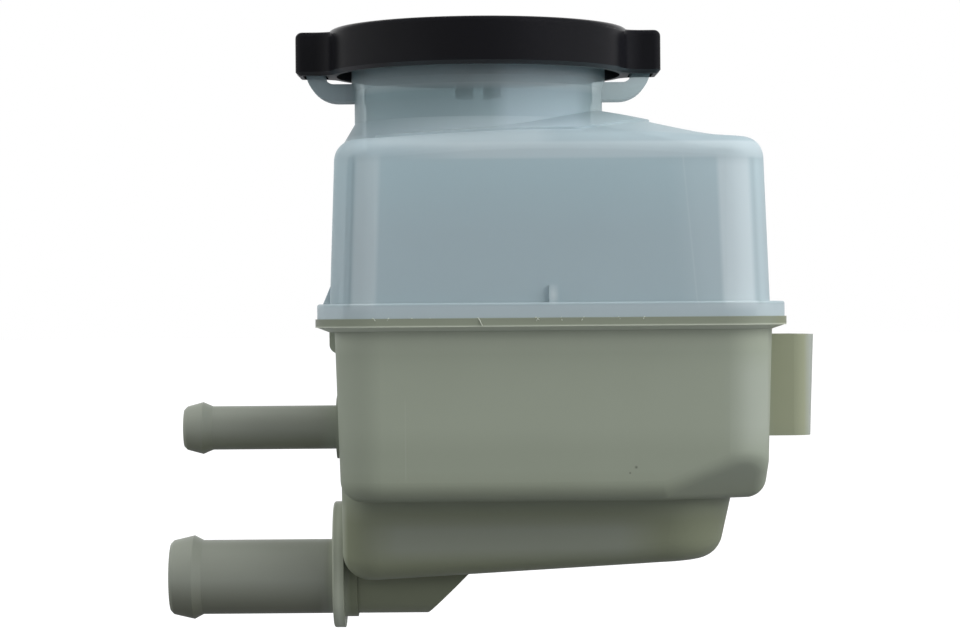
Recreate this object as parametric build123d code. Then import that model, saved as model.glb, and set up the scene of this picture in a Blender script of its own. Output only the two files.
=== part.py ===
from build123d import *
import os
from math import sin, tan, radians

# Power steering fluid reservoir: a welded two-shell tank with a filler neck,
# a pull-off cap held by two spring hooks, two hose nipples and a slip-on bracket.
# Millimetres. The origin is the centre of the filler neck's mouth, +Z is up along
# the neck, +X points to the bracket and the nipples point along -X.
# A height named "..._drop" is measured down from the mouth.

# Filler neck
neck_bore = 50.0
neck_wall = 2.55
lip_step = 0.65
lip_height = 7.7
lip_taper = 1.6
mouth_relief = 0.4
relief_clearance = 1.3
flare_drop = 16.6
flare_height = 7.6
flare_spread = 4.6

# Tank plan and walls
tank_left = 32.2
tank_right = 62.1
tank_half_depth = 36.0
tank_corner = 10.0
wall = 2.8
upper_draft = 2.1
eave_drop = 21.7
eave_radius = 4.6
inner_eave_radius = 2.4
weld_drop = 59.8

# Roof: crown above the eaves, as control heights along X times a bell across Y
roof_left_margin = 1.8
roof_right_margin = 23.9
roof_side_margin = 6.0
roof_first = -14.0
roof_pitch = 20.0
roof_crown = (0.0, 0.0, 12.9, 17.7, -3.6, -2.3, 0.0)
roof_bell = (0.0, 0.0, 1.3, 1.2, 1.3, 0.0, 0.0)

# Raised pad round the foot of the neck
pad_radius = 36.6
pad_offset = 1.4
pad_left = 22.0
pad_margin = 5.0
pad_corner = 4.0
pad_height = 0.5

# Welded rim between the two shells
rim_overhang = 3.0
rim_left_trim = 0.4
upper_rim_height = 3.2
lower_rim_height = 1.8
lower_rim_step = 0.4
rim_underside = 1.0
rim_edge = 0.5
rim_rib_x = 15.5
rim_rib_width = 1.9
rim_rib_height = 3.6
rim_rib_depth = 1.0
gusset_height = 5.0
gusset_width = 2.0
gusset_spacing = 24.0

# Level bars on the left wall of the upper shell
level_drops = (40.2, 49.6)
level_length = 9.0
level_height = 1.2
level_relief = 0.5

# Lower shell
lower_left_step = 1.0
lower_right_step = 0.4
lower_draft = 1.8
lower_height = 39.0
floor_radius = 4.5
inner_floor_radius = 2.2
chamfer_width = 31.0
chamfer_rise = 12.6
chamfer_depth = 15.0
lug_depth = 2.2
lug_width = 8.0
lug_gap = 0.6
lug_height = 5.2
lug_radius = 2.0

# Sump under the floor
sump_left_margin = 0.9
sump_right_margin = 7.2
sump_side_margin = 11.0
sump_foot_step = 6.5
sump_foot_side_step = 6.0
sump_corner = 14.0
sump_left_corner = 8.0
sump_foot_corner = 10.0
sump_height = 15.1
sump_slope = 3.2
sump_edge = 6.0
sump_inner_edge = 2.6
ledge_height = 3.8
ledge_width = 1.3

# Suction nipple, for the large hose
suction_od = 16.5
suction_bore = 12.0
suction_bead = 1.05
suction_collar_step = 0.75
suction_length = 38.9
suction_bead_distance = 7.2
suction_bead_slope = 2.0
suction_depth = 3.1
suction_block_end = 3.8
suction_block_slope = 45.0
suction_passage_wall = 1.75
plate_thickness = 2.5
plate_half_width = 12.0
plate_half_height = 13.95
plate_rise = 2.65

# Return nipple, for the small hose
return_od = 9.7
return_bore = 6.2
return_bead = 0.95
return_length = 34.8
return_bead_distance = 6.4
return_bead_slope = 2.2
return_depth = 24.0
return_collar_step = 2.15
return_collar_height = 0.8
tip_edge = 0.7

# Bracket sleeve
bracket_gap = 1.0
bracket_wall = 2.4
bracket_side_wall = 3.5
bracket_corner = 4.0
bracket_depth = 4.0
bracket_height = 22.1
bracket_draft = 2.0
slot_depth = 6.4
slot_half_width = 10.5
slot_corner = 1.0

# Spring hooks on the neck
hook_clearance = 0.6
hook_inner_clearance = 0.5
hook_bottom_drop = 11.6
hook_thickness = 3.9
hook_outer_radius = 7.0
hook_inner_radius = 2.0
hook_tip_rise = 0.6
hook_tip_radius = 1.2

# Cap
cap_gap = 3.3
cap_height = 10.2
cap_top = 4.3
cap_plate = 2.5
cap_skirt = 2.0
cap_edge = 1.4
cap_bottom_edge = 0.8
cap_dish_margin = 6.5
cap_dish_depth = 0.5
ear_overhang = 6.9
ear_half_width = 6.4
ear_step = 0.6
ear_corner = 1.6
ear_blend = 4.5
ear_wall = 1.6

# Pieces inside the cap
gasket_width = 2.5
gasket_slack = 0.05
insert_gap = 3.0
insert_thickness = 1.5
stem_od = 10.4
stem_bore = 6.4
stem_drop = 10.7
stem_slot_width = 2.4
stem_slot_height = 5.0

# Strainer across the sump
strainer_gap = 0.25
strainer_thickness = 2.2
strainer_border = 4.0
strainer_bar = 1.8
strainer_columns = 4
mesh_thickness = 0.6
mesh_lap = 1.0
mesh_pitch = 4.6
mesh_hole = 1.6

# Sizes that follow from those above
neck_radius = neck_bore / 2 + neck_wall
lip_radius = neck_radius + lip_step
relief_radius = neck_bore / 2 + mouth_relief
relief_drop = stem_drop + relief_clearance
flare_foot_drop = flare_drop + flare_height
pad_half_depth = tank_half_depth - pad_margin
lower_left = tank_left - lower_left_step
lower_right = tank_right + lower_right_step
floor_drop = weld_drop + lower_height
lug_top_drop = weld_drop + lower_rim_height + lug_gap
sump_left = lower_left - sump_left_margin
sump_right = lower_right - sump_right_margin
sump_half_depth = tank_half_depth - sump_side_margin
sump_foot_right = sump_right - sump_foot_step
sump_foot_half_depth = sump_half_depth - sump_foot_side_step
sump_drop = floor_drop + sump_height
ledge_drop = floor_drop + ledge_height
suction_drop = sump_drop + suction_depth
suction_deepest = suction_drop + suction_od / 2
suction_passage = suction_od - 2 * suction_passage_wall
plate_face = sump_left + plate_thickness
plate_drop = suction_drop - plate_rise
return_drop = weld_drop + return_depth
bracket_reach = lower_right + bracket_gap + slot_depth + bracket_wall
bracket_half_width = slot_half_width + bracket_side_wall
bracket_top_drop = weld_drop + bracket_depth
bracket_bottom_drop = bracket_top_drop + bracket_height
cap_radius = lip_radius + cap_gap + cap_skirt
cap_bottom = cap_top - cap_height
cap_ceiling = cap_top - cap_plate
ear_reach = cap_radius + ear_overhang
ear_pocket_half = ear_half_width - ear_wall
hook_reach = ear_reach - ear_wall - hook_clearance
hook_inner = cap_radius + hook_inner_clearance
hook_half_width = ear_pocket_half - hook_clearance
hook_top_drop = hook_bottom_drop - hook_thickness
gasket_radius = relief_radius + gasket_width
insert_radius = neck_bore / 2 - insert_gap


def plan(left, right, half_depth, radius, drop):
    """Rounded rectangle seen from above, from -left to right, at one height."""
    centre = (right - left) / 2
    return Pos(centre, 0, -drop) * RectangleRounded(left + right, 2 * half_depth, radius)


def above_roof(drop):
    """The space over the crowned roof surface, lowered by drop."""
    span = len(roof_bell) - 1
    half_width = tank_half_depth + roof_side_margin
    middle = [roof_first + step * roof_pitch for step in range(len(roof_crown) - 2)]
    columns = [-tank_left - roof_left_margin, *middle, tank_right + roof_right_margin]
    net = []
    for x, crown in zip(columns, roof_crown):
        row = []
        for step, bell in enumerate(roof_bell):
            y = half_width * (2 * step / span - 1)
            row.append((x, y, crown * bell - eave_drop - drop))
        net.append(row)
    surface = Face.make_bezier_surface(net)
    return Solid.extrude(surface, (0, 0, 2 * tank_half_depth))


def draft_up(inset, height):
    """Upper tank walls, drawn in by inset, from the weld up to height."""
    outline = plan(
        tank_left - inset,
        tank_right - inset,
        tank_half_depth - inset,
        tank_corner - inset,
        weld_drop,
    )
    return extrude(outline, amount=height, taper=upper_draft)


def roofed(inset, edge_radius):
    """Upper tank body closed by the roof, with rounded eaves."""
    body = draft_up(inset, weld_drop) - above_roof(inset)
    top = body.faces().sort_by(Axis.Z)[-1]
    return fillet(top.edges(), edge_radius)


def neck_post(radius, top, bottom):
    """Upright cylinder on the neck's axis between two heights."""
    return Pos(0, 0, (top + bottom) / 2) * Cylinder(radius, top - bottom)


def hook_profile():
    """Side view of the right spring hook, from the neck out and up."""
    reach, inner = hook_reach, hook_inner
    root = neck_radius - neck_wall / 2
    bottom, top = -hook_bottom_drop, -hook_top_drop
    outline = Polyline(
        (root, bottom),
        (reach, bottom),
        (reach, hook_tip_rise),
        (inner, hook_tip_rise),
        (inner, top),
        (root, top),
        close=True,
    )
    shape = make_face(outline)
    corner = shape.vertices().group_by(Axis.Y)
    shape = fillet(corner[0].sort_by(Axis.X)[-1], hook_outer_radius)
    inner_corner = shape.vertices().sort_by_distance((inner, top))[0]
    shape = fillet(inner_corner, hook_inner_radius)
    tips = shape.vertices().group_by(Axis.Y)[-1]
    return fillet(tips, hook_tip_radius)


def spring_hooks():
    hook = extrude(Plane.XZ * hook_profile(), amount=hook_half_width, both=True)
    return hook + mirror(hook, about=Plane.YZ)


def rim(overhang, height, drop):
    """Flat rim plate round the tank at the weld, standing up from drop."""
    outline = plan(
        tank_left + overhang - rim_left_trim,
        tank_right + overhang,
        tank_half_depth + overhang,
        tank_corner + overhang,
        drop,
    )
    return extrude(outline, amount=height)


def upper_shell():
    body = roofed(0, eave_radius)
    pad_circle = Pos(pad_offset, 0) * Circle(pad_radius)
    pad_box = Pos(pad_radius - pad_left, 0) * Rectangle(2 * pad_radius, 2 * pad_half_depth)
    pad_outline = pad_circle & pad_box
    pad_outline = fillet(pad_outline.vertices(), pad_corner)
    pad = extrude(Pos(0, 0, -eave_drop - wall) * pad_outline, amount=eave_drop)
    pad -= above_roof(-pad_height)

    flare = Pos(0, 0, -flare_drop - flare_height / 2) * Cone(
        neck_radius + flare_spread, neck_radius, flare_height
    )
    flare &= draft_up(0, weld_drop)

    rim_plate = rim(rim_overhang, upper_rim_height, weld_drop)
    rim_plate = fillet(rim_plate.faces().sort_by(Axis.Z)[-1].edges(), rim_edge)

    shell = body + pad + flare
    shell += neck_post(neck_radius, 0, -flare_foot_drop)
    shell += neck_post(lip_radius, 0, -lip_height)
    shell += Pos(0, 0, -lip_height - lip_taper / 2) * Cone(neck_radius, lip_radius, lip_taper)
    shell += rim_plate
    shell += spring_hooks()
    shell += rim_ribs()
    shell += level_bars()

    shell -= roofed(wall, inner_eave_radius)
    shell -= neck_post(neck_bore / 2, 1, -weld_drop / 2)
    shell -= neck_post(relief_radius, 1, -relief_drop)
    return shell


def rim_ribs():
    """Small rib on the front of the rim, and the gussets on its left side."""
    shelf = upper_rim_height - weld_drop
    lean = tan(radians(upper_draft)) * upper_rim_height
    wall_y = tank_half_depth - lean
    rib = Pos(rim_rib_x, -wall_y, shelf + rim_rib_height / 2) * Box(
        rim_rib_width, 2 * rim_rib_depth, rim_rib_height
    )
    ribs = rib
    left = -(tank_left + rim_overhang - rim_left_trim) + rim_edge
    inside = -tank_left + wall / 2
    for y in (-gusset_spacing / 2, gusset_spacing / 2):
        side = Polyline(
            (left, shelf - rim_edge),
            (left, shelf),
            (-tank_left, shelf + gusset_height),
            (inside, shelf + gusset_height),
            (inside, shelf - rim_edge),
            close=True,
        )
        gusset = extrude(Plane.XZ * make_face(side), amount=gusset_width / 2, both=True)
        ribs += Pos(0, y, 0) * gusset
    return ribs


def level_bars():
    """Raised bars for the highest and the lowest fluid level, on the left wall."""
    bars = []
    for drop in level_drops:
        wall_x = -tank_left + tan(radians(upper_draft)) * (weld_drop - drop)
        bars.append(Pos(wall_x, 0, -drop) * Box(2 * level_relief, level_length, level_height))
    return bars


def oblique_corner(inset):
    """The space cut off the tank's front right bottom corner."""
    front = -(tank_half_depth - inset)
    floor = -floor_drop + inset
    start = Vector(tank_right - chamfer_width - inset, front, floor)
    rise = Vector(tank_right - inset, front, floor + chamfer_rise)
    back = Vector(tank_right - inset, front + chamfer_depth, floor)
    along = rise - start
    normal = along.cross(back - start).normalized()
    if normal.Z > 0:
        normal = normal * -1
    cut_plane = Plane(origin=start, x_dir=along.normalized(), z_dir=normal)
    size = 4 * tank_half_depth
    return cut_plane * Box(size, size, size, align=(Align.CENTER, Align.CENTER, Align.MIN))


def lower_body(inset, edge_radius):
    """Lower tank walls and floor, drawn in by inset."""
    height = floor_drop - weld_drop - inset
    shrink = tan(radians(lower_draft)) * height
    top = plan(
        lower_left - inset,
        lower_right - inset,
        tank_half_depth - inset,
        tank_corner - inset,
        weld_drop,
    )
    bottom = plan(
        lower_left - inset - shrink,
        lower_right - inset - shrink,
        tank_half_depth - inset - shrink,
        tank_corner - inset - shrink,
        weld_drop + height,
    )
    body = loft([bottom.face(), top.face()], ruled=True)
    body -= oblique_corner(inset)
    crease = body.edges().filter_by_position(Axis.Z, -floor_drop - 1, -floor_drop + chamfer_rise + inset)
    crease = [edge for edge in crease if edge.bounding_box().max.Z < -floor_drop + chamfer_rise + inset + 4]
    return fillet(crease, edge_radius)


def sump_plan(right, half_depth, corner, inset, drop):
    """Sump outline: tight corners at the left end and wide ones at the right end."""
    left = -sump_left + inset
    outline = Pos((right - inset + left) / 2, 0, -drop) * Rectangle(
        right - inset - left, 2 * (half_depth - inset)
    )
    ends = outline.vertices().group_by(Axis.X)
    outline = fillet(ends[-1], corner - inset)
    return fillet(outline.vertices().group_by(Axis.X)[0], sump_left_corner - inset)


def sump_body(inset, rise, edge_radius):
    """Sump block down to its sloping bottom, drawn in by inset and raised by rise."""
    top = sump_plan(sump_right, sump_half_depth, sump_corner, inset, floor_drop - wall)
    foot = sump_plan(
        sump_foot_right, sump_foot_half_depth, sump_foot_corner, inset, suction_deepest
    )
    body = loft([foot.face(), top.face()], ruled=True)
    bottom = Plane(
        origin=(sump_foot_right / 2, 0, -sump_drop + rise), z_dir=(sin(radians(sump_slope)), 0, -1)
    )
    size = 4 * tank_half_depth
    body -= bottom * Box(size, size, size, align=(Align.CENTER, Align.CENTER, Align.MIN))
    return fillet(body.faces().sort_by(Axis.Z)[0].edges(), edge_radius)


def rod_x(diameter, start, end, drop):
    """Horizontal cylinder along X between two stations."""
    turned = Pos((start + end) / 2, 0, -drop) * Rot(0, 90, 0)
    return turned * Cylinder(diameter / 2, end - start)


def suction_block(diameter, inset, end):
    """Suction passage under the sump, closed by a sloping end at X = -end on its axis."""
    block = rod_x(diameter, -sump_left + inset, 0, suction_drop)
    slope = Plane(origin=(-end, 0, -suction_drop), z_dir=(1, 0, -tan(radians(suction_block_slope))))
    size = 4 * tank_half_depth
    return block - slope * Box(size, size, size, align=(Align.CENTER, Align.CENTER, Align.MIN))


def nipple(od, bead, root, length, bead_distance, bead_slope, collar, drop):
    """Hose nipple along -X from root, with a bead, a tapered lead-in and a collar at its root."""
    collar_od, collar_height = collar
    tip = -root - length
    outline = Polyline(
        (wall - root, 0),
        (wall - root, collar_od / 2),
        (-root - collar_height, collar_od / 2),
        (-root - collar_height, od / 2),
        (tip + bead_distance, od / 2),
        (tip + bead_distance - bead_slope, od / 2 + bead),
        (tip + tip_edge, od / 2),
        (tip, od / 2 - tip_edge),
        (tip, 0),
        close=True,
    )
    face = Pos(0, 0, -drop) * (Plane.XZ * make_face(outline))
    return revolve(face, Axis((0, 0, -drop), (1, 0, 0)))


def hose_plate():
    """Stop plate behind the suction hose."""
    shape = RectangleRounded(2 * plate_half_width, 2 * plate_half_height, plate_half_width - 1)
    plate = extrude(Plane.YZ * shape, amount=plate_thickness)
    plate = fillet(plate.faces().sort_by(Axis.X)[0].edges(), rim_edge)
    return Pos(-plate_face, 0, -plate_drop) * plate


def bracket_sleeve():
    """Loop on the right wall that slips down over a flat tongue."""
    inside = lower_right - wall / 2
    outline = Pos((inside + bracket_reach) / 2, 0, -bracket_bottom_drop) * Rectangle(
        bracket_reach - inside, 2 * bracket_half_width
    )
    outline = fillet(outline.vertices().group_by(Axis.X)[-1], bracket_corner)
    return extrude(outline, amount=bracket_height, taper=-bracket_draft)


def bracket_slot():
    centre = bracket_reach - bracket_wall - slot_depth / 2
    hole = Pos(centre, 0, -bracket_bottom_drop - 1) * RectangleRounded(
        slot_depth, 2 * slot_half_width, slot_corner
    )
    return extrude(hole, amount=bracket_height + 2)


def lower_shell():
    upper_rim = rim(rim_overhang + lower_rim_step, lower_rim_height, weld_drop + lower_rim_height)
    skirt_top = weld_drop + lower_rim_height
    skirt = loft(
        [
            plan(
                tank_left,
                tank_right,
                tank_half_depth,
                tank_corner,
                skirt_top + rim_underside,
            ).face(),
            plan(
                tank_left + rim_overhang - rim_left_trim,
                tank_right + rim_overhang,
                tank_half_depth + rim_overhang,
                tank_corner + rim_overhang,
                skirt_top,
            ).face(),
        ],
        ruled=True,
    )
    lug = Pos(-lower_left, 0, -lug_top_drop - lug_height / 2) * Box(
        2 * lug_depth, lug_width, lug_height
    )
    lug_edges = lug.edges().filter_by(Axis.Y)
    lug = fillet(lug_edges.sort_by(lambda edge: edge.center().X + edge.center().Z)[0], lug_radius)

    shell = lower_body(0, floor_radius) + upper_rim + skirt + lug
    shell += sump_body(0, 0, sump_edge)
    shell += suction_block(suction_od, 0, suction_block_end)
    shell += hose_plate()
    shell += nipple(
        suction_od,
        suction_bead,
        sump_left,
        suction_length,
        suction_bead_distance,
        suction_bead_slope,
        (suction_od + 2 * suction_collar_step, plate_thickness / 2),
        suction_drop,
    )
    shell += nipple(
        return_od,
        return_bead,
        lower_left,
        return_length,
        return_bead_distance,
        return_bead_slope,
        (return_od + 2 * return_collar_step, return_collar_height),
        return_drop,
    )
    shell += bracket_sleeve()

    shell -= lower_body(wall, inner_floor_radius)
    shell -= sump_body(wall, wall, sump_inner_edge) & between(ledge_drop, floor_drop - 2 * wall)
    shell -= sump_body(wall + ledge_width, wall, sump_inner_edge) & between(2 * suction_drop, ledge_drop)
    end_wall = wall / sin(radians(suction_block_slope))
    shell -= suction_block(suction_passage, wall, suction_block_end + end_wall)
    shell -= rod_x(suction_bore, -sump_left - suction_length - 1, -sump_left + wall, suction_drop)
    shell -= rod_x(return_bore, -lower_left - return_length - 1, -lower_left + 2 * wall, return_drop)
    shell -= bracket_slot()
    return shell


def between(low_drop, high_drop):
    """Everything between two heights."""
    size = 8 * tank_half_depth
    return Pos(0, 0, -(low_drop + high_drop) / 2) * Box(size, size, low_drop - high_drop)


def cap_plan(inset):
    """Cap outline from above: a disc with one ear on each side."""
    disc = Circle(cap_radius - inset)
    ears = Rectangle(2 * (ear_reach - inset), 2 * (ear_half_width - inset))
    ears = fillet(ears.vertices(), ear_corner)
    outline = disc + ears
    notches = [
        vertex
        for vertex in outline.vertices()
        if abs(abs(vertex.Y) - (ear_half_width - inset)) < 0.01 and abs(vertex.X) < cap_radius
    ]
    return fillet(notches, ear_blend)


def cap_shell():
    body = extrude(Pos(0, 0, cap_bottom) * cap_plan(0), amount=cap_height - ear_step)
    body = fillet(body.faces().sort_by(Axis.Z)[-1].edges(), cap_edge)
    body = chamfer(body.faces().sort_by(Axis.Z)[0].edges(), cap_bottom_edge)
    disc = neck_post(cap_radius, cap_top, cap_bottom + cap_height / 2)
    body += fillet(disc.faces().sort_by(Axis.Z)[-1].edges(), cap_edge)

    body -= neck_post(cap_radius - cap_skirt, cap_ceiling, cap_bottom - 1)
    pocket_outer = ear_reach - ear_wall
    for side in (-1, 1):
        middle = side * (cap_radius + pocket_outer) / 2
        body -= Pos(middle, 0, (cap_ceiling + cap_bottom - 1) / 2) * Box(
            pocket_outer - cap_radius, 2 * ear_pocket_half, cap_ceiling - cap_bottom + 1
        )
    body -= neck_post(cap_radius - cap_dish_margin, cap_top + 1, cap_top - cap_dish_depth)
    return body


def cap_gasket():
    outer = neck_post(gasket_radius, cap_ceiling, gasket_slack)
    return outer - neck_post(relief_radius, cap_ceiling + 1, -1)


def vent_insert():
    """Breather insert under the cap: a disc with a hollow slotted stem."""
    disc = neck_post(insert_radius, cap_ceiling, cap_ceiling - insert_thickness)
    disc = chamfer(disc.faces().sort_by(Axis.Z)[0].edges(), rim_edge)
    insert = disc + neck_post(stem_od / 2, cap_ceiling - insert_thickness / 2, -stem_drop)
    insert -= neck_post(stem_bore / 2, cap_ceiling - insert_thickness, -stem_drop - 1)
    slot = Pos(0, 0, -stem_drop + stem_slot_height / 2) * Box(
        stem_slot_width, 2 * stem_od, stem_slot_height
    )
    return insert - slot


def strainer_level():
    """How far the sump wall has come in at the ledge, from its slope."""
    share = (ledge_drop - floor_drop + wall) / (suction_deepest - floor_drop + wall)
    return share * (sump_right - sump_foot_right), share * (sump_half_depth - sump_foot_half_depth)


def strainer_plan(inset, drop):
    lean_x, lean_y = strainer_level()
    return sump_plan(
        sump_right - lean_x, sump_half_depth - lean_y, sump_corner - lean_y / 2, wall + strainer_gap + inset, drop
    )


def strainer_frame():
    frame = extrude(strainer_plan(0, ledge_drop), amount=strainer_thickness)
    window = extrude(strainer_plan(strainer_border, ledge_drop), amount=strainer_thickness)
    box = window.bounding_box()
    pitch = box.size.X / strainer_columns
    for column in range(1, strainer_columns):
        x = box.min.X + column * pitch
        window -= Pos(x, 0, -ledge_drop + strainer_thickness / 2) * Box(
            strainer_bar, 4 * sump_half_depth, strainer_thickness
        )
    pocket = extrude(strainer_plan(strainer_border - mesh_lap, ledge_drop), amount=mesh_thickness)
    return frame - window - pocket


def strainer_mesh():
    sheet = extrude(strainer_plan(strainer_border - mesh_lap, ledge_drop), amount=mesh_thickness)
    box = extrude(strainer_plan(strainer_border, ledge_drop), amount=1).bounding_box()
    columns = int((box.size.X - mesh_hole) / mesh_pitch)
    rows = int((box.size.Y - mesh_hole) / mesh_pitch) - 1
    centre = box.center()
    hole = Box(mesh_hole, mesh_hole, 4 * mesh_thickness)
    places = GridLocations(mesh_pitch, mesh_pitch, columns, rows)
    holes = [Pos(centre.X, centre.Y, -ledge_drop + mesh_thickness / 2) * place * hole for place in places]
    return sheet - holes


os.makedirs("parts", exist_ok=True)

pieces = {
    "upper_shell": upper_shell,
    "lower_shell": lower_shell,
    "cap_shell": cap_shell,
    "cap_gasket": cap_gasket,
    "vent_insert": vent_insert,
    "strainer_frame": strainer_frame,
    "strainer_mesh": strainer_mesh,
}
for name, make in pieces.items():
    export_step(make(), f"parts/{name}.step")
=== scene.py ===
# %% [markdown]
# A power steering reservoir is two plastic mouldings welded together at a rim, with a black cap
# on a filler neck. Its solids come ready made at their real size, so this lesson is about
# finish: how translucent and milky polypropylene and a black moulded cap look in soft studio
# light. The first cell loads the solids and keeps their box, which later places the floor.

# %% Load the solids
import math
from functools import cache

import bpy
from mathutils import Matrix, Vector


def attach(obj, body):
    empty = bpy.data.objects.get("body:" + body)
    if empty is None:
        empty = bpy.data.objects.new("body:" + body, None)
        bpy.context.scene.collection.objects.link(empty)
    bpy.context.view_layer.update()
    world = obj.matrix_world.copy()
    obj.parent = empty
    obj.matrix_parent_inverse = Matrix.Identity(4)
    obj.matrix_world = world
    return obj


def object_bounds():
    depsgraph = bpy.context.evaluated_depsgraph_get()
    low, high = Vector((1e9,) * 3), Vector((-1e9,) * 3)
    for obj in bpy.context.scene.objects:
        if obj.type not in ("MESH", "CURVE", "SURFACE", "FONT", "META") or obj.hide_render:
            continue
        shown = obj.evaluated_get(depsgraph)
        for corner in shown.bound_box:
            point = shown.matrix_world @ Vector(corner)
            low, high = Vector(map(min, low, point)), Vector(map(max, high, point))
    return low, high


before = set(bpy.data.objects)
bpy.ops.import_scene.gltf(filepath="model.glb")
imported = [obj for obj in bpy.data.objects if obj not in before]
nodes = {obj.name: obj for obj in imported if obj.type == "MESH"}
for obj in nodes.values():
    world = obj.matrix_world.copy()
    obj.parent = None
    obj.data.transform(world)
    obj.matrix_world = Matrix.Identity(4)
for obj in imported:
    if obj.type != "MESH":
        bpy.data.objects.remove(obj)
cad_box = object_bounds()
scene = bpy.context.scene
MM = 0.001
print("solids:", sorted(nodes))

# %% [markdown]
# The photograph looks level at the tank from about 64 cm, with a long lens, so the sides hardly
# converge. The mouth of the neck is the origin, and the lens is level with a line 60 mm lower,
# which is where the rim shows as a straight edge. A camera is set by its distance, its height
# and a lens worked out from how many pixels a millimetre takes. The tank leans a little in the
# picture, so the camera rolls by the same angle.

# %% Camera
IMAGE_WIDTH = 960
SENSOR_MM = 36
FOCAL_PIXELS = 2870
CAMERA_DISTANCE = 640 * MM
CAMERA_HEIGHT = -60.2 * MM
CAMERA_ROLL = 0.45

camera_data = bpy.data.cameras.new("camera")
camera_data.lens = SENSOR_MM * FOCAL_PIXELS / IMAGE_WIDTH
camera_data.sensor_width = SENSOR_MM
camera = bpy.data.objects.new("camera", camera_data)
scene.collection.objects.link(camera)
camera.location = (0, -CAMERA_DISTANCE, CAMERA_HEIGHT)
camera.rotation_euler = (math.radians(90), math.radians(CAMERA_ROLL), 0)
scene.camera = camera
print("lens:", round(camera_data.lens, 1), "mm")

# %% [markdown]
# Colours are picked as hex values, as on a screen, and a shader wants linear light. One function
# turns one into the other. A second one adds a shader node with its settings and its links, and
# a third starts an empty material, which keeps the cells that follow short.


# %% Colour and node helpers
def hex_colour(text):
    """sRGB hex to the linear colour that shaders use."""
    channels = [int(text[i : i + 2], 16) / 255 for i in (0, 2, 4)]
    linear = [c / 12.92 if c <= 0.04045 else ((c + 0.055) / 1.055) ** 2.4 for c in channels]
    return (*linear, 1)


def add_node(tree, kind, inputs=None, **settings):
    """Adds one node; an input is a value or the socket that feeds it."""
    node = tree.nodes.new(kind)
    for name, value in settings.items():
        setattr(node, name, value)
    for name, value in (inputs or {}).items():
        if isinstance(value, bpy.types.NodeSocket):
            tree.links.new(value, node.inputs[name])
        else:
            node.inputs[name].default_value = value
    return node


def new_material(name):
    """An empty material: itself, its node tree and its output node."""
    material = bpy.data.materials.new(name)
    material.use_nodes = True
    material.node_tree.nodes.clear()
    output = add_node(material.node_tree, "ShaderNodeOutputMaterial")
    return material, material.node_tree, output


WHITE = (1, 1, 1, 1)
print("grey 808080 in linear light:", round(hex_colour("808080")[0], 3))

# %% [markdown]
# The light is a plain white studio. The part stands in front of a lit white wall, so more light
# comes from behind, from above and from the right than from the camera's side. The world shader
# does that with the direction that each ray looks in: a dot product says how far it points
# towards the bright side. A satin surface mirrors what stands in front of it, and that is a dim
# room with a faint glow at both sides, so reflections see white only close to the wall behind.
# The camera sees it white all over.

# %% World
BRIGHT_SIDE = (0.35, 0.72, 0.60)
LIGHT_FROM_DIM_SIDE = 0.44
LIGHT_FROM_BRIGHT_SIDE = 1.35
BACKGROUND_WHITE = 1.0
DIM_ROOM = 0.07
SIDE_GLOW = 0.18
# How squarely a mirrored ray looks back: where the wall begins, and where it is fully white.
WALL_EDGE = 0.55
WALL_MIDDLE = 0.95

scene.view_settings.view_transform = "Standard"

world = bpy.data.worlds.new("studio")
scene.world = world
world.use_nodes = True
world.node_tree.nodes.clear()
tree = world.node_tree
looking = add_node(tree, "ShaderNodeTexCoord")
towards_bright_side = add_node(
    tree,
    "ShaderNodeVectorMath",
    {0: looking.outputs["Generated"], 1: Vector(BRIGHT_SIDE).normalized()},
    operation="DOT_PRODUCT",
)
studio_light = add_node(
    tree,
    "ShaderNodeMapRange",
    {
        "Value": towards_bright_side.outputs["Value"],
        "From Min": -1.0,
        "From Max": 1.0,
        "To Min": LIGHT_FROM_DIM_SIDE,
        "To Max": LIGHT_FROM_BRIGHT_SIDE,
    },
)
direction = add_node(tree, "ShaderNodeSeparateXYZ", {0: looking.outputs["Generated"]})
mirrored_wall = add_node(
    tree,
    "ShaderNodeMapRange",
    {
        "Value": direction.outputs["Y"],
        "From Min": WALL_EDGE,
        "From Max": WALL_MIDDLE,
        "To Min": DIM_ROOM,
        "To Max": BACKGROUND_WHITE,
    },
)
sideways = add_node(
    tree,
    "ShaderNodeMath",
    {0: direction.outputs["X"], 1: direction.outputs["X"]},
    operation="MULTIPLY",
)
mirrored_room = add_node(
    tree,
    "ShaderNodeMath",
    {0: sideways.outputs[0], 1: SIDE_GLOW, 2: mirrored_wall.outputs[0]},
    operation="MULTIPLY_ADD",
)
lighting, mirrored, backdrop = (
    add_node(tree, "ShaderNodeBackground", {"Color": WHITE, "Strength": level}).outputs[0]
    for level in (studio_light.outputs[0], mirrored_room.outputs[0], BACKGROUND_WHITE)
)
path = add_node(tree, "ShaderNodeLightPath")
for_gloss = add_node(
    tree, "ShaderNodeMixShader", {0: path.outputs["Is Glossy Ray"], 1: lighting, 2: mirrored}
)
for_camera = add_node(
    tree,
    "ShaderNodeMixShader",
    {0: path.outputs["Is Camera Ray"], 1: for_gloss.outputs[0], 2: backdrop},
)
add_node(tree, "ShaderNodeOutputWorld", {"Surface": for_camera.outputs[0]})
print("world:", LIGHT_FROM_DIM_SIDE, "to", LIGHT_FROM_BRIGHT_SIDE)

# %% [markdown]
# Three large soft boxes stand left, right and above. The right one is the strongest: it
# brightens the rounded corner of the tank and the bracket sleeve. They are hidden from
# reflections, because the photograph's cap has no hard highlight.

# %% Soft boxes
CENTRE = (0, 0, -60 * MM)


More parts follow.
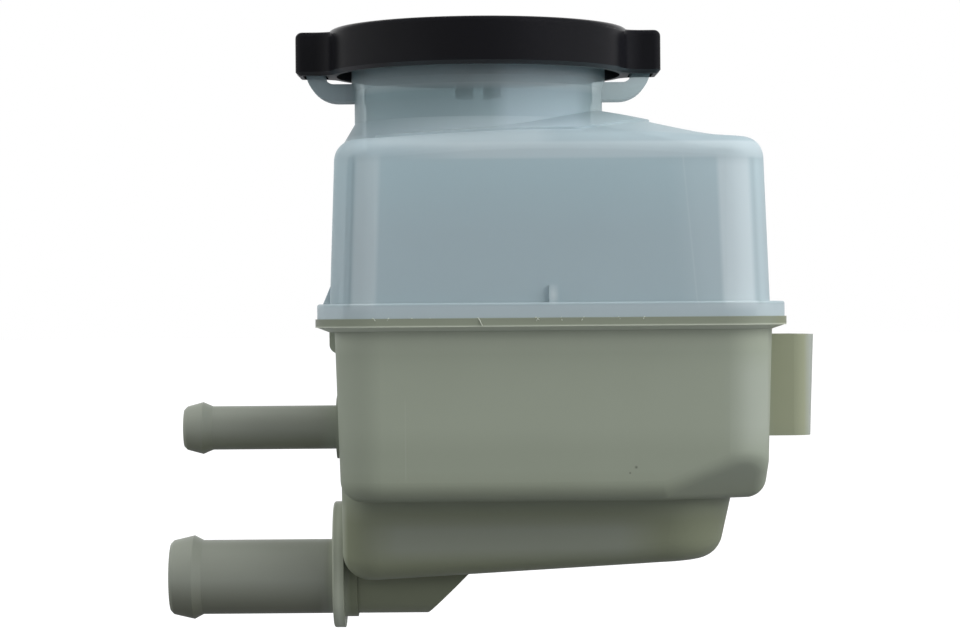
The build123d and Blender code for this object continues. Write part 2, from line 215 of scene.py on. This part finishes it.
def soft_box(name, place, size, power):
    """A square area lamp aimed at the part, too soft to be mirrored in a satin surface."""
    data = bpy.data.lights.new(name, "AREA")
    data.shape = "SQUARE"
    data.size = size
    data.energy = power
    lamp = bpy.data.objects.new(name, data)
    scene.collection.objects.link(lamp)
    lamp.location = place
    aim = Vector(CENTRE) - Vector(place)
    lamp.rotation_euler = aim.to_track_quat("-Z", "Y").to_euler()
    lamp.visible_glossy = False
    print(name, power, "W")


soft_box("left_box", place=(-0.95, 0.10, 0.25), size=0.5, power=3.0)
soft_box("right_box", place=(0.75, -0.45, 0.45), size=0.9, power=8.5)
soft_box("top_box", place=(0.1, 0.0, 1.1), size=0.8, power=4.5)

# %% [markdown]
# The part is shown in the air over a pale ground. The camera sees that ground as white, by a
# light path node, and its own matt shade is added, so that a shadow still darkens it.

# %% Floor
FLOOR_GAP = 55 * MM
FLOOR_SIZE = 40
FLOOR_WHITE = 0.9
PAPER_SHADE = "76777A"
PAPER_ROUGHNESS = 0.9

floor_z = cad_box[0][2] - FLOOR_GAP
bpy.ops.object.select_all(action="DESELECT")
bpy.ops.mesh.primitive_plane_add(size=FLOOR_SIZE, location=(0, 0, floor_z))
floor = bpy.context.object
floor.name = "floor"
paper, tree, output = new_material("pale_ground_paper")
path = add_node(tree, "ShaderNodeLightPath")
seen = add_node(
    tree,
    "ShaderNodeMath",
    {0: path.outputs["Is Camera Ray"], 1: FLOOR_WHITE},
    operation="MULTIPLY",
)
matt = add_node(
    tree,
    "ShaderNodeBsdfPrincipled",
    {"Base Color": hex_colour(PAPER_SHADE), "Roughness": PAPER_ROUGHNESS},
)
white = add_node(tree, "ShaderNodeEmission", {"Color": WHITE, "Strength": seen.outputs[0]})
shown = add_node(tree, "ShaderNodeAddShader", {0: matt.outputs[0], 1: white.outputs[0]})
tree.links.new(shown.outputs[0], output.inputs["Surface"])
floor.data.materials.append(paper)
print("floor at", round(floor_z / MM, 1), "mm")

# %% [markdown]
# Every moulded surface has two kinds of unevenness. Fine orange peel comes from the mould's
# grain, and slow waves come from plastic that shrinks as it cools. Both are noise on Object
# coordinates, with a scale worked out from a size in millimetres, and both go into a bump. Real
# orange peel is finer than a pixel, so its grains are drawn as coarse as they need to show. A
# third noise mixes two close shades, because the flow of the melt leaves faint clouds.

# %% Moulded skin and cloudy colour
WAVE_DETAIL = 1.0
CLOUD_DETAIL = 2.0
GRAIN_DETAIL = 3.0
# A Mix node that is set to colours takes them in sockets 6 and 7, and gives the result in 2.
MIX_FIRST = 6
MIX_SECOND = 7
MIX_RESULT = 2


def noise(tree, size_mm, detail):
    """Noise whose grains are about size_mm across."""
    place = add_node(tree, "ShaderNodeTexCoord")
    grain = add_node(
        tree,
        "ShaderNodeTexNoise",
        {"Vector": place.outputs["Object"], "Scale": 1 / (size_mm * MM), "Detail": detail},
    )
    return grain.outputs["Fac"]


def moulded_skin(tree, grain_mm, grain_height, wave_mm, wave_height):
    """Bump for a moulded surface: fine orange peel over slow sink marks, heights in mm."""
    slow = add_node(
        tree,
        "ShaderNodeBump",
        {
            "Height": noise(tree, wave_mm, WAVE_DETAIL),
            "Strength": 1.0,
            "Distance": wave_height * MM,
        },
    )
    fine = add_node(
        tree,
        "ShaderNodeBump",
        {
            "Height": noise(tree, grain_mm, GRAIN_DETAIL),
            "Normal": slow.outputs["Normal"],
            "Strength": 1.0,
            "Distance": grain_height * MM,
        },
    )
    return fine.outputs["Normal"]


def cloudy_colour(tree, dark, light, cloud_mm):
    """Two close shades mixed by slow noise, as flow leaves them in a moulding."""
    mix = add_node(
        tree,
        "ShaderNodeMix",
        {
            "Factor": noise(tree, cloud_mm, CLOUD_DETAIL),
            MIX_FIRST: hex_colour(dark),
            MIX_SECOND: hex_colour(light),
        },
        data_type="RGBA",
    )
    return mix.outputs[MIX_RESULT]


print("noise with 0.5 mm grains has a scale of", round(1 / (0.5 * MM)))

# %% [markdown]
# A thin milky wall doesn't look one colour in studio light. Most patches here are painted light
# and shade: paler bands where light catches or comes through a corner, an edge or a rim, or
# lifts a shadow, darker patches where shade falls, and dark lines where an inner wall shows
# through. The others are marks of the mould: a flow line, a gate line and two specks. Each such
# patch lies between planes. A Vector Math node's dot product gives how far a point lies along a
# direction, a Map Range turns that into a fade at each plane, and the fades multiplied together
# are the patch's mask. A row for each patch says what it is, its shade, its strength and its
# limits, and one loop lays them over the plain colour.

# %% Patches of light and shade
RIGHT = (1, 0, 0)
LEFT = (-1, 0, 0)
FRONT = (0, -1, 0)
UP = (0, 0, 1)
DOWN = (0, 0, -1)


@cache
def distance_along(tree, direction):
    """How far each point lies along a direction, in metres, made once in each tree."""
    place = add_node(tree, "ShaderNodeTexCoord")
    along = add_node(
        tree,
        "ShaderNodeVectorMath",
        {0: place.outputs["Object"], 1: Vector(direction).normalized()},
        operation="DOT_PRODUCT",
    )
    return along.outputs["Value"]


@cache
def fade(tree, direction, start_mm, end_mm):
    """0 before start_mm along the direction and 1 after end_mm."""
    slope = add_node(
        tree,
        "ShaderNodeMapRange",
        {
            "Value": distance_along(tree, direction),
            "From Min": start_mm * MM,
            "From Max": end_mm * MM,
            "To Min": 0.0,
            "To Max": 1.0,
        },
    )
    return slope.outputs[0]


def band(direction, start_mm, end_mm, edge_mm):
    """The two limits of a band that fades over edge_mm outside its ends."""
    rising = (direction, start_mm - edge_mm, start_mm)
    falling = (direction, end_mm + edge_mm, end_mm)
    return rising, falling


def line(direction, at_mm, half_mm):
    """The two limits of a thin line, full at at_mm and gone half_mm to each side."""
    return band(direction, at_mm, at_mm, half_mm)


def mask_within(tree, limits, strength=1.0):
    """Strength where all the limits hold, fading to 0 outside them."""
    mask = strength
    for limit in limits:
        product = add_node(
            tree, "ShaderNodeMath", {0: mask, 1: fade(tree, *limit)}, operation="MULTIPLY"
        )
        mask = product.outputs[0]
    return mask


def with_painted_light_and_marks(tree, colour, patches):
    """The colour under patches of painted light and shade and mould marks: each a name, a shade, a
    strength and its limits.
    """
    for name, shade, strength, *limits in patches:
        mix = add_node(
            tree,
            "ShaderNodeMix",
            {
                "Factor": mask_within(tree, limits, strength),
                MIX_FIRST: colour,
                MIX_SECOND: hex_colour(shade),
            },
            data_type="RGBA",
        )
        mix.label = name
        colour = mix.outputs[MIX_RESULT]
    print("patches:", ", ".join(patch[0] for patch in patches))
    return colour


# %% [markdown]
# Polypropylene without pigment is cloudy, not clear: light goes in, scatters among its crystals
# and comes out on the far side. The upper shell is that bare plastic, thin enough to see the
# inner walls through. Three shaders share the work: a Principled one for the satin skin, a
# Translucent one for light that comes through from behind, and a little Transparent, which
# shows the inner walls as soft lines.

# %% Plastic that lets light through
POLYPROPYLENE_IOR = 1.49


def milky_plastic(
    tree, output, colour, glow, normal, roughness, glow_share, clear_share=0.0, clear_tint="FFFFFF"
):
    """A satin skin over a body that passes light: glow_share scattered, clear_share straight."""
    skin = add_node(
        tree,
        "ShaderNodeBsdfPrincipled",
        {
            "Base Color": colour,
            "Roughness": roughness,
            "IOR": POLYPROPYLENE_IOR,
            "Normal": normal,
        },
    )
    body = add_node(tree, "ShaderNodeBsdfTranslucent", {"Color": glow})
    filled = add_node(
        tree, "ShaderNodeMixShader", {0: glow_share, 1: skin.outputs[0], 2: body.outputs[0]}
    )
    clear = add_node(tree, "ShaderNodeBsdfTransparent", {"Color": hex_colour(clear_tint)})
    whole = add_node(
        tree, "ShaderNodeMixShader", {0: clear_share, 1: filled.outputs[0], 2: clear.outputs[0]}
    )
    tree.links.new(whole.outputs[0], output.inputs["Surface"])


print("polypropylene's index of refraction:", POLYPROPYLENE_IOR)

# %% [markdown]
# The end walls lean in by their draft, so the patches at the tank's ends have limits that lean
# with them, and the flow line leans by five degrees. The neck is clearer than the tank, so
# that the dark stem of the cap's vent shows through it.

# %% Natural polypropylene
FLOW_LINE = (1, 0, 0.089)
RIGHT_WALL = (1, 0, 0.036)
LEFT_WALL = (1, 0, -0.036)
ON_FRONT = (FRONT, 20, 30)
FRONT_MIDDLE = ((RIGHT, -18, -2), (FRONT, 22, 28))
ABOVE_ROOF = (UP, -20.5, -19.5)
UPPER_WALL = band(UP, -56.2, -27, 2.5)
NECK_LIMITS = ((UP, -22, -8), (RIGHT, -27.5, -25.0))
TANK_CLEAR = 0.20
NECK_CLEAR = 0.60

UPPER_PAINTED_LIGHT_AND_MARKS = (
    # Painted shade: the neck is darker where the cap keeps light off it.
    ("neck", "8FA6A8", 1.0, (UP, -19, -9)),
    # Painted light: the wall grows paler towards the roof.
    ("painted light towards the roof", "BDD8DF", 0.35, (UP, -42, -30), *UPPER_WALL),
    # Painted light: the wall right of the flow line is paler, as if lit from the right.
    ("painted light right of the flow line", "E3EDF1", 0.2, (FLOW_LINE, 37, 43), *UPPER_WALL),
    # Painted light: a pale band where side light catches the rounded right corner.
    ("painted light on right-hand corner", "E3EDF1", 0.8, *band(RIGHT_WALL, 49.7, 55.6, 0.9), *UPPER_WALL),
    # Painted shade: the right end of the roof is darker.
    ("painted shade on right end of roof", "8E9EA6", 0.3, (RIGHT, 28, 42), (UP, -28, -25)),
    # Painted light: a pale band where side light catches the rounded left corner.
    ("painted light on left-hand corner", "EDF3F5", 0.35, *band(LEFT_WALL, -24.6, -20.4, 0.9), *UPPER_WALL),
    # Painted shade: a dark line where each inner end wall shows through the corner.
    ("painted shade line of right inner wall", "8FA0A6", 0.4, *line(RIGHT_WALL, 56.9, 0.8), *UPPER_WALL),
    ("painted shade line of left inner wall", "8FA0A6", 0.45, *line(LEFT_WALL, -25.5, 0.5), *UPPER_WALL),
    # Painted highlight along the roof's edge, and painted shade on the roof behind it.
    ("painted highlight on the roof edge", "D9E4E8", 0.55, *band(UP, -25.9, -22.9, 0.5), *FRONT_MIDDLE),
    ("painted shade behind the roof edge", "8FA0A6", 0.1, (UP, -22.7, -21.7), *FRONT_MIDDLE),
    # Painted light on the right of the neck, on the front only.
    ("painted light on right of neck", "CFE0EA", 0.65, *band(RIGHT, 6.5, 21, 4), (FRONT, 6, 14), ABOVE_ROOF),
    # Painted shade on the left edge of the neck.
    ("painted shade on left of neck", "5F7278", 0.5, *band(RIGHT, -29, -25.6, 0.8), ABOVE_ROOF),
    # Painted light on the foot of the neck, on the front.
    ("painted light on foot of neck", "DDE8EC", 0.3, *band(UP, -22.5, -17.5, 1.5), *band(RIGHT, -20, 12, 5), ON_FRONT),
    # Painted light on the upper rim.
    ("painted light on rim of upper shell", "DDE7EB", 0.38, *band(UP, -59.6, -57.4, 0.4)),
    # Painted shade on the left hook.
    ("painted shade on hook at left", "8E919C", 0.4, (LEFT, 27.7, 28.1), ABOVE_ROOF),
    # Painted light on the lip of the neck, where the cap's shadow falls.
    ("painted light on lip of neck", "E6EFF2", 0.6, *band(UP, -9.5, -1, 1.5), *band(RIGHT, -25, 25, 2.5)),
    # Painted light on the gussets at the left end, which stand in shadow.
    ("painted light on left gusset", "DCE6EA", 0.6, (LEFT, 32.9, 33.2), *UPPER_WALL),
    # Painted shade along the right end wall.
    ("painted shade at right end wall", "93A1A8", 0.3, (RIGHT_WALL, 58.2, 60.0), *UPPER_WALL),
    ("rib on the rim", "E4ECEE", 0.8, *line(RIGHT, 15.5, 1.4), *line(UP, -55.0, 2.6), ON_FRONT),
    ("flow line", "E4ECEE", 0.3, *line(FLOW_LINE, 40.6, 0.28), *UPPER_WALL),
)

natural_pp, tree, output = new_material("natural_polypropylene_moulded_translucent")
clear_share = add_node(
    tree,
    "ShaderNodeMapRange",
    {
        "Value": mask_within(tree, NECK_LIMITS),
        "From Min": 0.0,
        "From Max": 1.0,
        "To Min": TANK_CLEAR,
        "To Max": NECK_CLEAR,
    },
)
milky_plastic(
    tree,
    output,
    colour=with_painted_light_and_marks(tree, cloudy_colour(tree, "B2C3CA", "BCCCD2", 38), UPPER_PAINTED_LIGHT_AND_MARKS),
    glow=hex_colour("D6E2E6"),
    normal=moulded_skin(tree, grain_mm=0.5, grain_height=0.004, wave_mm=18, wave_height=0.10),
    roughness=0.36,
    glow_share=0.32,
    clear_share=clear_share.outputs[0],
    clear_tint="E6EEF0",
)
print("made", natural_pp.name)

# %% [markdown]
# The lower shell is the same plastic with a little ivory pigment. It's milky: nothing shows
# through it, but light still goes round its corners, so shadows on it stay soft. Its sump, its
# nipples and their undersides are painted darker as shade, some corners, edges and shadowed
# walls are painted lighter as light, and two tiny dark specks are moulded into its front.

# %% Ivory polypropylene
SUMP = (DOWN, 92, 104)
SUMP_PAINTED_SHADE = "80866F"
ON_NIPPLES = (LEFT, 33, 36)
NOT_ON_BRACKET = (LEFT, -61.5, -61)
# Each speck's place across and up, and its half width.
SPECKS = ((32.7, -91.5, 0.4), (31.4, -92.7, 0.28))

LOWER_PAINTED_LIGHT_AND_MARKS = (
    # Painted shade: the sump and the nipples are darker.
    ("sump", SUMP_PAINTED_SHADE, 1.0, SUMP),
    ("nipples", "94998E", 1.0, (LEFT, 31, 35)),
    ("bracket", "9BA087", 1.0, (RIGHT, 61.5, 64)),
    # Painted highlight on the rounded right corner, and painted light on the bracket's end.
    ("painted light on right-hand corner", "C8CED0", 0.15, (RIGHT, 51, 57), *band(DOWN, 72, 86, 6), NOT_ON_BRACKET),
    ("painted light on end of bracket", "A6ACA4", 1.0, (RIGHT, 70.6, 72)),
    # Painted shade on the wall just over the sump.
    ("painted shade over the sump", "868D7D", 0.3, *band(DOWN, 88, 93, 5)),
    # Painted light on the lug, which stands in shadow.
    ("lug", "C8CFC0", 0.8, (LEFT, 31.4, 31.8), *band(UP, -69, -62.2, 0.5)),
    # Painted highlight across the middle of the sump.
    ("painted highlight across the sump", "949A92", 0.55, *band(DOWN, 105.5, 109.5, 3.5), *band(RIGHT, -18, 30, 9)),
    ("stop plate", "BCC3B2", 1.0, *line(RIGHT, -31.5, 2.6), (DOWN, 98, 101)),
    # Painted shade under the nipples.
    ("painted shade beneath suction nipple", "57583F", 0.75, (DOWN, 117, 125), ON_NIPPLES),
    ("painted shade beneath return nipple", "65664C", 0.5, *band(DOWN, 88, 92, 4), ON_NIPPLES),
    # Painted light on the wall under the rim and on the rim's lower edge, where the rim casts shade.
    ("painted light below the rim", "BCC4B3", 0.4, *band(DOWN, 62.6, 64.5, 3.0), NOT_ON_BRACKET),
    ("painted light on underside of rim", "E2E8D8", 0.6, *band(UP, -62.3, -61.6, 0.4)),
    ("weld", "6E7462", 0.5, *band(UP, -61.2, -60.0, 0.4)),
    *(
        ("speck", "3A3B34", 1.0, *line(RIGHT, across, half), *line(UP, height, half), ON_FRONT)
        for across, height, half in SPECKS
    ),
    ("gate line", "B4BAAC", 0.25, *line(RIGHT, -15.9, 0.2), *band(UP, -93, -78, 2), ON_FRONT),
)

ivory_pp, tree, output = new_material("ivory_polypropylene_moulded_milky")
milky_plastic(
    tree,
    output,
    colour=with_painted_light_and_marks(tree, cloudy_colour(tree, "969E8E", "A1A999", 34), LOWER_PAINTED_LIGHT_AND_MARKS),
    # The glow carries the same painted shade on the sump.
    glow=with_painted_light_and_marks(tree, hex_colour("B0B7A4"), [("sump", SUMP_PAINTED_SHADE, 1.0, SUMP)]),
    normal=moulded_skin(tree, grain_mm=0.5, grain_height=0.005, wave_mm=16, wave_height=0.10),
    roughness=0.40,
    glow_share=0.15,
)
print("made", ivory_pp.name)

# %% [markdown]
# The cap is the same plastic filled with carbon black. It lets no light in, so only the skin
# shows: a satin black with a fine texture. The gasket's rubber and the strainer's nylon pass no
# light either, so one function makes all three, and each then goes on its own pieces.


# %% Black polypropylene, rubber and nylon
def solid_plastic(name, dark, light, cloud_mm, skin, roughness, ior):
    """A moulding that lets no light in; skin holds the four sizes of its moulded skin."""
    material, tree, output = new_material(name)
    shader = add_node(
        tree,
        "ShaderNodeBsdfPrincipled",
        {
            "Base Color": cloudy_colour(tree, dark, light, cloud_mm),
            "Roughness": roughness,
            "IOR": ior,
            "Normal": moulded_skin(tree, *skin),
        },
    )
    tree.links.new(shader.outputs[0], output.inputs["Surface"])
    print("made", name)
    return material


black_pp = solid_plastic(
    "black_polypropylene_moulded_satin",
    dark="0B0B0F",
    light="121217",
    cloud_mm=12,
    skin=(0.35, 0.008, 15, 0.05),
    roughness=0.30,
    ior=POLYPROPYLENE_IOR,
)
rubber = solid_plastic(
    "nitrile_rubber_moulded_matt",
    dark="161618",
    light="1E1E20",
    cloud_mm=6,
    skin=(0.3, 0.010, 8, 0.03),
    roughness=0.75,
    ior=1.5,
)
nylon = solid_plastic(
    "white_nylon_moulded_matt",
    dark="D0CCBE",
    light="DAD7CB",
    cloud_mm=10,
    skin=(0.4, 0.006, 10, 0.04),
    roughness=0.55,
    ior=1.53,
)

FINISHES = {
    "upper_shell": natural_pp,
    "lower_shell": ivory_pp,
    "cap_shell": black_pp,
    "vent_insert": black_pp,
    "cap_gasket": rubber,
    "strainer_frame": nylon,
    "strainer_mesh": nylon,
}
for name, material in FINISHES.items():
    slots = nodes[name].data.materials
    if len(slots) == 0:
        slots.append(material)
    for index in range(len(slots)):
        slots[index] = material
    print(name, "is", material.name)

# %% [markdown]
# Where the two shells are welded, molten plastic is pressed out of the joint. Most of it breaks
# off, and a few pale threads stay on the small ledge of the lower rim. One thread starts as a
# round face that is extruded step by step. Each step turns a little more downwards and gets a
# little thinner, as pulled plastic does. The threads are short and long, steep and shallow, so
# each one has a row with its place and sizes, and the number in its name is its row's.

# %% Threads of weld flash
WELD_HEIGHT = -59.8
RIM_FRONT = -39.0
START_INSIDE = 0.05
THREAD_SIDES = 8
THREAD_TAPER = 0.9
SHORT = (10, 40, 30)
STEEP = (20, 50, 15)
LONG = (5, 45, 30, 8, 0, -6)
# Place along the rim, thickness and step in mm, bends in degrees, and lean to the side.
THREADS = (
    (-22.5, 0.35, 0.24, SHORT, 0.8),
    (-19.1, 0.28, 0.22, SHORT, -0.5),
    (-14.4, 0.28, 0.20, SHORT, 0.9),
    (-10.5, 0.24, 0.20, SHORT, 0.3),
    (-0.5, 0.30, 0.34, LONG, 0.5),
    (11.6, 0.36, 0.26, SHORT, 1.0),
    (12.4, 0.24, 0.30, STEEP, -0.7),
    (17.0, 0.26, 0.30, STEEP, 0.2),
    (21.8, 0.28, 0.30, STEEP, -0.6),
    (29.0, 0.26, 0.22, SHORT, 0.5),
    (34.5, 0.30, 0.24, SHORT, -0.4),
)

flash_pp, tree, output = new_material("pressed_out_polypropylene")
milky_plastic(
    tree,
    output,
    colour=cloudy_colour(tree, "CDD3C6", "DDE1D6", 2),
    glow=hex_colour("E4E8DD"),
    normal=moulded_skin(tree, grain_mm=0.3, grain_height=0.010, wave_mm=2, wave_height=0.03),
    roughness=0.45,
    glow_share=0.30,
)


def flash_thread(name, x_mm, thickness_mm, step_mm, bends, lean):
    """A thread out of the weld at x_mm: one extrusion for each bend."""
    tip = Vector((x_mm, RIM_FRONT + START_INSIDE, WELD_HEIGHT)) * MM
    bpy.ops.object.select_all(action="DESELECT")
    bpy.ops.mesh.primitive_circle_add(
        vertices=THREAD_SIDES,
        radius=thickness_mm / 2 * MM,
        fill_type="NGON",
        location=tip,
        rotation=(math.radians(90), 0, 0),
    )
    thread = bpy.context.object
    thread.name = name
    bpy.ops.object.transform_apply(location=True, rotation=True, scale=True)
    bpy.ops.object.mode_set(mode="EDIT")
    bpy.ops.mesh.select_all(action="SELECT")
    angle = 0
    for bend in bends:
        angle += bend
        down = math.radians(angle)
        ahead = Vector((lean, -math.cos(down), -math.sin(down))) * step_mm * MM
        tip = tip + ahead
        bpy.ops.mesh.extrude_region_move(TRANSFORM_OT_translate={"value": ahead})
        bpy.ops.transform.rotate(
            value=math.radians(-bend), orient_axis="X", orient_type="GLOBAL", center_override=tip
        )
        bpy.ops.transform.resize(value=(THREAD_TAPER,) * 3, center_override=tip)
    bpy.ops.mesh.select_all(action="SELECT")
    bpy.ops.mesh.normals_make_consistent(inside=False)
    bpy.ops.object.mode_set(mode="OBJECT")
    bpy.ops.object.shade_smooth()
    thread.data.materials.append(flash_pp)
    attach(thread, "tank")


for number, row in enumerate(THREADS, 1):
    flash_thread(f"weld_flash_{number:02d}", *row)
print("made", len(THREADS), "threads of weld flash")
